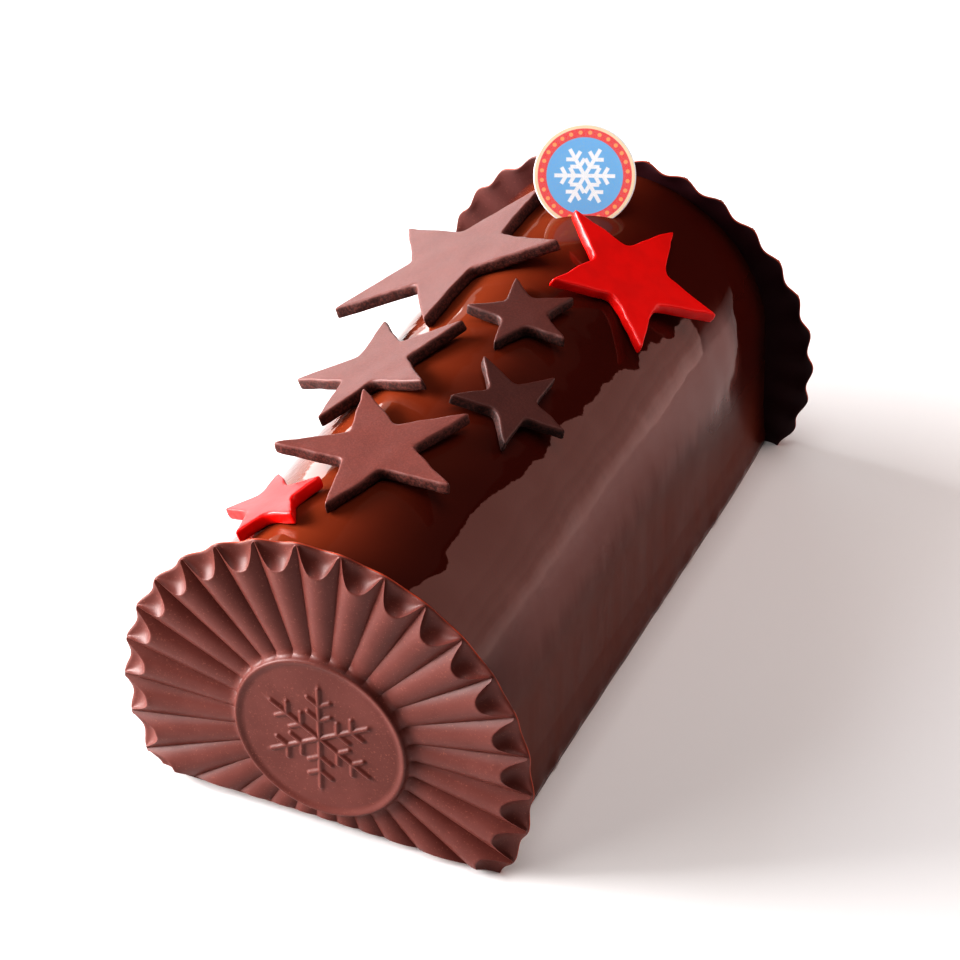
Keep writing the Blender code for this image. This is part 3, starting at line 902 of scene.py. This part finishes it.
def disc_finish(disc):
    """Print: a blue field with a white snowflake, a red ring with gold dots and a cream border."""
    finish = Finish("printed_sugar_paper")
    plan = finish.node("ShaderNodeUVMap", {"uv_map": "print"})
    right = (finish.along(plan, "X") - 0.5) * (2 * disc.radius)
    up = (finish.along(plan, "Y") - 0.5) * (2 * disc.radius)
    radius = (right * right + up * up).maths("SQRT", right * right + up * up)
    bearing = right.maths("ARCTAN2", up, right)

    def past(distance, edge):
        """0 inside a printed edge and 1 beyond it."""
        return distance.step(edge - PRINT_BLUR, edge + PRINT_BLUR)

    ringed = finish.mix(past(radius, disc.field_radius), tuple(disc.blue), tuple(disc.red))
    spacing = 2 * math.pi / DISC_DOTS
    round_dot = abs((bearing + math.pi) % spacing - spacing / 2) * DISC_DOT_RING
    out_dot = radius - DISC_DOT_RING
    from_dot = round_dot.maths("SQRT", round_dot * round_dot + out_dot * out_dot)
    dotted = finish.mix(1.0 - past(from_dot, disc.dot_radius), ringed, tuple(disc.gold))
    flake = 1.0 - flake_stroke(radius, bearing).step(*PRINT_FLAKE_EDGE)
    flaked = finish.mix(flake, dotted, tuple(disc.white))
    bordered = finish.mix(past(radius, disc.ring_radius), flaked, tuple(disc.cream))
    edged = finish.mix(radius.step(*PRINT_EDGE), bordered, tuple(disc.white))
    grain = finish.noise(finish.place(), 0.22, 2.0, 0.8)
    printed = finish.mix(grain.step(0.35, 0.65) * 0.30, edged, tuple(disc.grain))
    return finish.surface(base_color=printed, roughness=0.55, normal=finish.bump(grain, 0.03),
                          specular_ior_level=0.3)


# ---------------------------------------------------------------- floor, lights and camera

CAMERA_PLACE = Vector((0.3016, -0.6273, 0.5832))
WHITE = (1.0, 1.0, 1.0)
WARM_WHITE = (1.0, 0.985, 0.97)
PALE_BLUE = (0.75, 0.88, 1.0)
COOL_WHITE = (0.85, 0.97, 1.0)
DUSTY_PINK = (0.92, 0.68, 0.63)
FLOOR_HALF_WIDTH = 1.6

# the tall card's strips: foot and top in metres, and share of the card's strength
CARD_STRIPS = ((0.0, 0.035, 0.66), (0.035, 0.075, 0.78), (0.075, 0.12, 0.88), (0.12, 0.19, 0.96),
               (0.19, 0.50, 1.02))
CARD_PLACE = (0.303, 0.214)
CARD_AIM = (-0.277, -0.606)
CARD_WIDTH = 0.2


def soft_lights(stage):
    """Name, place, aim, width, height, radiance and tint of each soft light, in metres."""
    lights = [("side_light", (-1.26, -0.31, 0.43), (0.0, 0.0, 0.04), 1.0, 0.62, stage.side_light, WHITE),
              ("top_light", (0.1, 0.0, 1.5), (0.0, 0.0, 0.0), 1.0, 0.8, stage.top_light, WHITE),
              ("front_light", (-1.0, -1.1, 0.7), (0.0, -0.05, 0.04), 0.9, 0.7, stage.front_light, WHITE)]
    for low, high, share in CARD_STRIPS:
        middle = (low + high) / 2
        lights.append(("tall_card", (*CARD_PLACE, middle), (*CARD_AIM, middle), CARD_WIDTH, high - low,
                       stage.card * share, DUSTY_PINK))
    lights += [("low_card", (-1.05, 1.08, 0.17), (0.0, 0.0, 0.17), 1.2, 0.34, stage.low_card, COOL_WHITE),
               ("low_card_top", (-1.05, 1.08, 0.41), (0.0, 0.0, 0.41), 1.2, 0.14, stage.card_top, COOL_WHITE),
               ("upper_light", (-1.2, -0.3, 1.05), (0.0, 0.0, 0.04), 1.0, 0.4, stage.upper_light, PALE_BLUE),
               ("back_light", (0.0, 0.5, 0.62), (0.0, -0.05, 0.05), 0.7, 0.25, stage.back_light, WHITE)]
    return lights


def add_floor(stage):
    """Wide pale floor under the cake."""
    bm = bmesh.new()
    bmesh.ops.create_grid(bm, x_segments=1, y_segments=1, size=FLOOR_HALF_WIDTH)
    mesh = bpy.data.meshes.new("floor")
    bm.to_mesh(mesh)
    bm.free()
    finish = Finish("pale_floor")
    mesh.materials.append(finish.surface(base_color=tuple(stage.floor), roughness=0.6))
    floor = bpy.data.objects.new("floor", mesh)
    bpy.context.collection.objects.link(floor)


def add_soft_light(name, place, aim, width, height, radiance, tint):
    """Rectangular soft light that looks as bright as its radiance, aimed at a point."""
    light = bpy.data.lights.new(name, "AREA")
    light.shape = "RECTANGLE"
    light.size = width
    light.size_y = height
    light.energy = radiance * math.pi * width * height
    light.color = tint
    holder = bpy.data.objects.new(name, light)
    holder.location = place
    holder.rotation_euler = (Vector(aim) - Vector(place)).to_track_quat("-Z", "Y").to_euler()
    bpy.context.collection.objects.link(holder)


def add_surround(strength):
    """Dim even light from all round."""
    world = bpy.data.worlds.new("studio")
    world.use_nodes = True
    background = world.node_tree.nodes["Background"]
    background.inputs["Color"].default_value = (*WARM_WHITE, 1.0)
    background.inputs["Strength"].default_value = strength
    bpy.context.scene.world = world


def add_camera(stage):
    """Camera that looks down along the log from its front right."""
    camera = bpy.data.cameras.new("camera")
    camera.lens = stage.lens
    camera.sensor_width = 36.0
    camera.clip_end = 10.0
    holder = bpy.data.objects.new("camera", camera)
    turn = Matrix.Rotation(stage.camera_turn, 4, "Z")
    tilt = Matrix.Rotation(math.pi / 2 - stage.camera_tilt, 4, "X")
    roll = Matrix.Rotation(stage.camera_roll, 4, "Z")
    holder.matrix_world = Matrix.Translation(CAMERA_PLACE) @ turn @ tilt @ roll
    bpy.context.collection.objects.link(holder)
    bpy.context.scene.camera = holder


# ---------------------------------------------------------------- operators

class CAKE_OT_glazed_log(bpy.types.Operator):
    """Build the log with its coat of glaze"""
    bl_idname = "cake.glazed_log"
    bl_label = "Glazed Log"

    def execute(self, context):
        scene = context.scene
        make_glazed_log(scene.cake_glaze, scene.cake_plaques, glaze_finish(scene.cake_glaze))
        return {"FINISHED"}


class CAKE_OT_plaques(bpy.types.Operator):
    """Build both moulded chocolate plaques"""
    bl_idname = "cake.plaques"
    bl_label = "Chocolate Plaques"

    def execute(self, context):
        plaques = context.scene.cake_plaques
        half_width = context.scene.cake_glaze.half_width
        material = plaque_finish(plaques)
        form = make_plaque_form(plaques)
        make_plaque("moulded_plaque_front", "plaque_front", -1, form, plaques, half_width, material)
        make_plaque("moulded_plaque_rear", "plaque_rear", 1, form, plaques, half_width, material)
        form.free()
        return {"FINISHED"}


class CAKE_OT_brown_stars(bpy.types.Operator):
    """Build the cocoa chocolate stars"""
    bl_idname = "cake.brown_stars"
    bl_label = "Brown Stars"

    def execute(self, context):
        stars = context.scene.cake_stars
        material = cocoa_finish(stars)
        for seed, (node, pose) in enumerate(BROWN_STARS.items()):
            make_star(node, node.replace("star_brown", "cocoa_star"), pose, stars, LOG_TOP, seed,
                      material)
        return {"FINISHED"}


class CAKE_OT_red_stars(bpy.types.Operator):
    """Build the red chocolate stars"""
    bl_idname = "cake.red_stars"
    bl_label = "Red Stars"

    def execute(self, context):
        stars = context.scene.cake_stars
        material = red_finish(stars)
        for seed, (node, pose) in enumerate(RED_STARS.items(), FIRST_RED_SEED):
            make_star(node, node.replace("star_red", "scarlet_star"), pose, stars, LOG_TOP, seed,
                      material)
        return {"FINISHED"}


class CAKE_OT_printed_disc(bpy.types.Operator):
    """Build the printed disc"""
    bl_idname = "cake.printed_disc"
    bl_label = "Printed Disc"

    def execute(self, context):
        disc = context.scene.cake_disc
        make_printed_disc(disc, disc_finish(disc))
        return {"FINISHED"}


class CAKE_OT_stage(bpy.types.Operator):
    """Set up the floor, the lights and the camera"""
    bl_idname = "cake.stage"
    bl_label = "Stage"

    def execute(self, context):
        stage = context.scene.cake_stage
        context.scene.view_settings.view_transform = "Standard"
        context.scene.view_settings.look = "High Contrast"
        add_floor(stage)
        add_surround(stage.surround)
        for light in soft_lights(stage):
            add_soft_light(*light)
        add_camera(stage)
        return {"FINISHED"}


class CAKE_PT_panel(bpy.types.Panel):
    """Sizes, colours and steps of the cake"""
    bl_idname = "CAKE_PT_panel"
    bl_label = "Yule Log Cake"
    bl_space_type = "VIEW_3D"
    bl_region_type = "UI"
    bl_category = "Cake"

    def draw(self, context):
        for operators, settings in PANEL_ROWS:
            box = self.layout.box()
            for operator in operators:
                box.operator(operator)
            group = getattr(context.scene, settings)
            for name in group.__annotations__:
                box.prop(group, name)


PANEL_ROWS = (
    (("cake.glazed_log",), "cake_glaze"),
    (("cake.plaques",), "cake_plaques"),
    (("cake.brown_stars", "cake.red_stars"), "cake_stars"),
    (("cake.printed_disc",), "cake_disc"),
    (("cake.stage",), "cake_stage"),
)
SETTINGS = {
    "cake_glaze": GlazeSettings,
    "cake_plaques": PlaqueSettings,
    "cake_stars": StarSettings,
    "cake_disc": DiscSettings,
    "cake_stage": StageSettings,
}
OPERATORS = (CAKE_OT_glazed_log, CAKE_OT_plaques, CAKE_OT_brown_stars, CAKE_OT_red_stars,
             CAKE_OT_printed_disc, CAKE_OT_stage)


def register():
    """Register the settings, the operators and the panel."""
    for cls in (*SETTINGS.values(), *OPERATORS, CAKE_PT_panel):
        bpy.utils.register_class(cls)
    for name, group in SETTINGS.items():
        setattr(bpy.types.Scene, name, bpy.props.PointerProperty(type=group))


def unregister():
    """Undo register."""
    for name in SETTINGS:
        delattr(bpy.types.Scene, name)
    for cls in reversed((*SETTINGS.values(), *OPERATORS, CAKE_PT_panel)):
        bpy.utils.unregister_class(cls)


def main():
    """Build every piece and the stage."""
    register()
    bpy.ops.cake.glazed_log()
    bpy.ops.cake.plaques()
    bpy.ops.cake.brown_stars()
    bpy.ops.cake.red_stars()
    bpy.ops.cake.printed_disc()
    bpy.ops.cake.stage()


if __name__ == "__main__":
    main()
